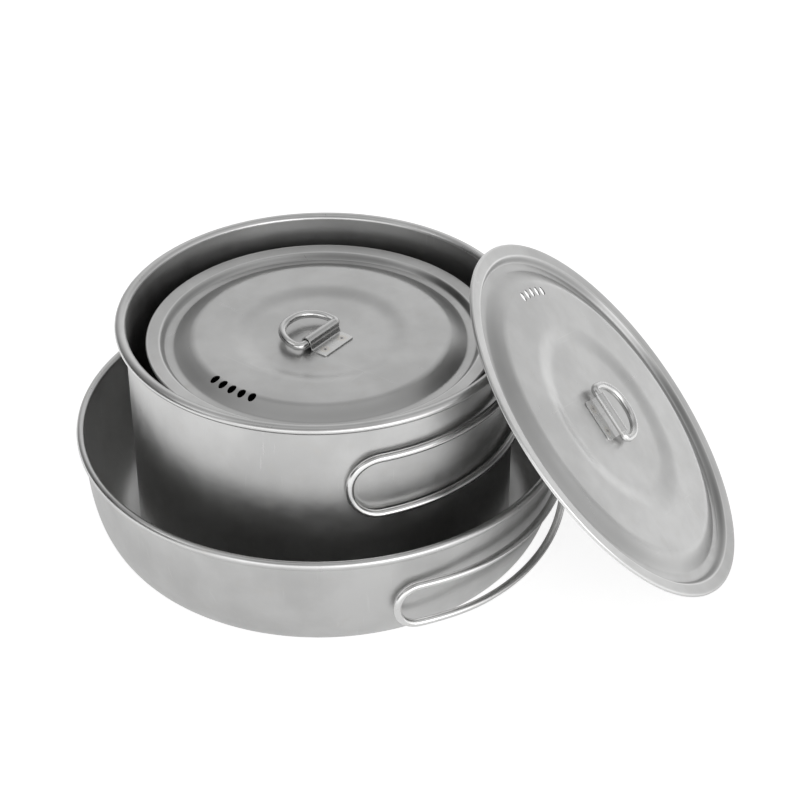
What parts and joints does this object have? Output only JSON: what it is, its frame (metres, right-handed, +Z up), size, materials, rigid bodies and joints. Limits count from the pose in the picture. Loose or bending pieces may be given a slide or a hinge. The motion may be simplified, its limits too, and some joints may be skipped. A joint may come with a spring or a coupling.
{
  "type": "cooking pot set",
  "caption": "Nesting titanium pot set: a frying pan, a large pot and a small pot with folding wire handles, and strainer lids with ring grips, the larger lid leaning on the pot.",
  "frame": {"origin": "centre of the frying pan's underside, on the common axis of the three vessels, at floor height", "axes": "+Z up along the vessels' axis; +X toward the side with the handle brackets and the leaning lid; +Y toward the rear handles"},
  "size_m": [0.2728, 0.2032, 0.1203],
  "materials": {
    "titanium_sheet": "bead-blasted titanium sheet, neutral warm grey",
    "titanium_rod": "drawn titanium rod, smoother and brighter than the sheet"
  },
  "bodies": {
    "frying_pan": {"frying_pan_body": "titanium_sheet", "frying_pan_handle_bracket": "titanium_sheet"},
    "frying_pan_front_handle": {"frying_pan_handle_front": "titanium_rod"},
    "frying_pan_rear_handle": {"frying_pan_handle_rear": "titanium_rod"},
    "large_pot": {"large_pot_body": "titanium_sheet", "large_pot_handle_bracket": "titanium_sheet"},
    "large_pot_front_handle": {"large_pot_handle_front": "titanium_rod"},
    "large_pot_rear_handle": {"large_pot_handle_rear": "titanium_rod"},
    "small_pot": {"small_pot_body": "titanium_sheet", "small_pot_handle_bracket": "titanium_sheet"},
    "small_pot_front_handle": {"small_pot_handle_front": "titanium_rod"},
    "small_pot_rear_handle": {"small_pot_handle_rear": "titanium_rod"},
    "small_lid": {"small_lid_disc": "titanium_sheet", "small_lid_hinge_strap": "titanium_sheet"},
    "small_lid_ring": {"small_lid_ring": "titanium_rod"},
    "large_lid": {"large_lid_disc": "titanium_sheet", "large_lid_hinge_strap": "titanium_sheet"},
    "large_lid_ring": {"large_lid_ring": "titanium_rod"}
  },
  "joints": [
    {"name": "large_pot_lift", "type": "slide", "parent": "frying_pan", "child": "large_pot", "axis": [0, 0, 1], "range_m": [0, 0.12]},
    {"name": "small_pot_lift", "type": "slide", "parent": "large_pot", "child": "small_pot", "axis": [0, 0, 1], "range_m": [0, 0.12]},
    {"name": "small_lid_lift", "type": "slide", "parent": "small_pot", "child": "small_lid", "axis": [0, 0, 1], "range_m": [0, 0.08]},
    {"name": "large_lid_takeaway", "type": "slide", "parent": "small_lid", "child": "large_lid", "axis": [0.7253, -0.0942, 0.682], "range_m": [0, 0.2]},
    {"name": "frying_pan_front_handle_hinge", "type": "hinge", "parent": "frying_pan", "child": "frying_pan_front_handle", "pos_m": [0.09971, 0.01323, 0.0235], "axis": [0, 0, 1], "range_deg": [0, 90]},
    {"name": "frying_pan_rear_handle_hinge", "type": "hinge", "parent": "frying_pan", "child": "frying_pan_rear_handle", "pos_m": [0.09647, 0.02847, 0.0235], "axis": [0, 0, -1], "range_deg": [0, 90]},
    {"name": "large_pot_front_handle_hinge", "type": "hinge", "parent": "large_pot", "child": "large_pot_front_handle", "pos_m": [0.08024, 0.0095, 0.06805], "axis": [0, 0, 1], "range_deg": [0, 90]},
    {"name": "large_pot_rear_handle_hinge", "type": "hinge", "parent": "large_pot", "child": "large_pot_rear_handle", "pos_m": [0.07717, 0.02396, 0.06805], "axis": [0, 0, -1], "range_deg": [0, 90]},
    {"name": "small_pot_front_handle_hinge", "type": "hinge", "parent": "small_pot", "child": "small_pot_front_handle", "pos_m": [0.06688, 0.00748, 0.056], "axis": [0, 0, 1], "range_deg": [0, 6]},
    {"name": "small_pot_rear_handle_hinge", "type": "hinge", "parent": "small_pot", "child": "small_pot_rear_handle", "pos_m": [0.06414, 0.02037, 0.056], "axis": [0, 0, -1], "range_deg": [0, 6]},
    {"name": "small_lid_ring_hinge", "type": "hinge", "parent": "small_lid", "child": "small_lid_ring", "pos_m": [0.00183, -0.00139, 0.08986], "axis": [0.606, 0.7955, 0], "range_deg": [0, 160]},
    {"name": "large_lid_ring_hinge", "type": "hinge", "parent": "large_lid", "child": "large_lid_ring", "pos_m": [0.11607, -0.02117, 0.06288], "axis": [0.5397, -0.5373, -0.6481], "range_deg": [0, 160]}
  ],
  "couplings": [
    {"joint": "frying_pan_front_handle_hinge", "follows": "large_lid_takeaway", "rad_per_m": 7.8},
    {"joint": "frying_pan_rear_handle_hinge", "follows": "large_lid_takeaway", "rad_per_m": 7.8},
    {"joint": "large_pot_front_handle_hinge", "follows": "large_lid_takeaway", "rad_per_m": 7.8},
    {"joint": "large_pot_rear_handle_hinge", "follows": "large_lid_takeaway", "rad_per_m": 7.8}
  ]
}
